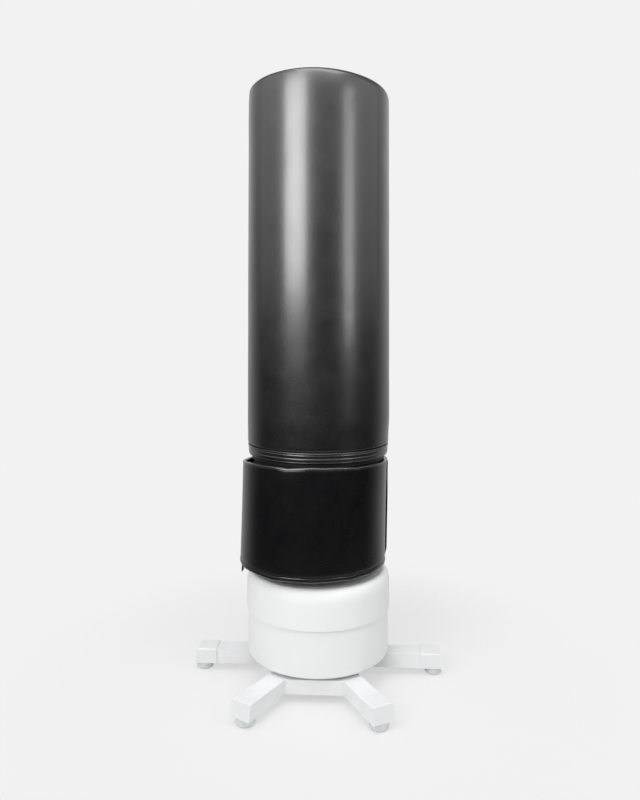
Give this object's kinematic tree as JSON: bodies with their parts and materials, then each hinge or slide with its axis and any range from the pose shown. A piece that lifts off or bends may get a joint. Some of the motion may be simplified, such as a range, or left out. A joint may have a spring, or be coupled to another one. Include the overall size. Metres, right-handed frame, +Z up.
{
  "type": "free-standing punch bag",
  "caption": "Tall padded cylinder that leans on springs over a ballast drum with a star of box legs, and a wrap that closes the spring bay.",
  "frame": {"origin": "on the floor, under the bag's axis, at the centre of the star of legs", "axes": "+Z up along the bag; +X along a leg, towards the wrap's overlap flap; -Y is the front"},
  "size_m": [0.704, 0.6396, 1.65],
  "materials": {
    "vinyl": "satin",
    "wrap_vinyl": "gloss",
    "foam": "matte",
    "webbing": "matte",
    "drum_plastic": "satin",
    "end_cap": "satin",
    "cap_plastic": "satin",
    "leg_steel": "satin",
    "plate_steel": "satin",
    "spring_steel": "satin",
    "zinc_steel": "satin",
    "foot_rubber": "matte",
    "damper_rubber": "matte",
    "disc_wood": "matte",
    "sand": "matte"
  },
  "bodies": {
    "base": {"leg_tube_1": "leg_steel", "leg_tube_2": "leg_steel", "leg_tube_3": "leg_steel", "leg_tube_4": "leg_steel", "leg_tube_5": "leg_steel", "leg_tube_6": "leg_steel", "end_cap_1": "end_cap", "end_cap_2": "end_cap", "end_cap_3": "end_cap", "end_cap_4": "end_cap", "end_cap_5": "end_cap", "end_cap_6": "end_cap", "foot_1": "foot_rubber", "foot_2": "foot_rubber", "foot_3": "foot_rubber", "foot_4": "foot_rubber", "foot_5": "foot_rubber", "foot_6": "foot_rubber", "leg_web_1": "leg_steel", "leg_web_2": "leg_steel", "leg_web_3": "leg_steel", "foot_bolts": "zinc_steel", "leg_bolts": "zinc_steel", "hub_plate": "leg_steel", "drum_shell": "drum_plastic", "sand_ballast": "sand", "drum_cover": "drum_plastic", "fill_seal": "foot_rubber", "lower_spring_plate": "plate_steel", "tie_bolts": "zinc_steel", "spring_1": "spring_steel", "spring_2": "spring_steel", "spring_3": "spring_steel", "spring_4": "spring_steel"},
    "spring_centre": {"centre_damper": "damper_rubber"},
    "bag": {"upper_spring_plate": "plate_steel", "core_bolts": "zinc_steel", "core_tube": "plate_steel", "core_plug": "cap_plastic", "base_disc": "disc_wood", "disc_bolts": "zinc_steel", "guard_ring": "foam", "bottom_panel": "vinyl", "low_piping": "vinyl", "bag_band": "vinyl", "bag_piping": "vinyl", "foam_body": "foam", "top_pad": "foam", "bag_cover": "vinyl", "wrap_panel": "wrap_vinyl", "wrap_lining": "foam", "wrap_top_binding": "wrap_vinyl", "wrap_hem_binding": "wrap_vinyl", "hook_strip": "webbing", "flap_seam": "wrap_vinyl", "strap_end": "webbing"},
    "flap": {"wrap_flap": "wrap_vinyl", "loop_strip": "webbing"},
    "filler_cap": {"fill_cap": "cap_plastic"}
  },
  "joints": [
    {"name": "bag_lean_sideways", "type": "hinge", "parent": "base", "child": "spring_centre", "pos_m": [0, 0, 0.37], "axis": [0, 1, 0], "range_deg": [-4, 4], "stiffness_Nm_per_rad": 1600, "deforming": ["centre_damper", "spring_1", "spring_2", "spring_3", "spring_4"]},
    {"name": "bag_lean_fore_aft", "type": "hinge", "parent": "spring_centre", "child": "bag", "pos_m": [0, 0, 0.37], "axis": [1, 0, 0], "range_deg": [-4, 4], "stiffness_Nm_per_rad": 1600, "deforming": ["centre_damper", "spring_1", "spring_2", "spring_3", "spring_4"]},
    {"name": "wrap_flap_peel", "type": "hinge", "parent": "bag", "child": "flap", "pos_m": [0.17214, 0.09942, 0.4635], "axis": [0, 0, 1], "range_deg": [0, 90]},
    {"name": "fill_cap_turn", "type": "hinge", "parent": "base", "child": "filler_cap", "pos_m": [0.069, 0.11951, 0.306], "axis": [0, 0, 1], "continuous": true}
  ]
}
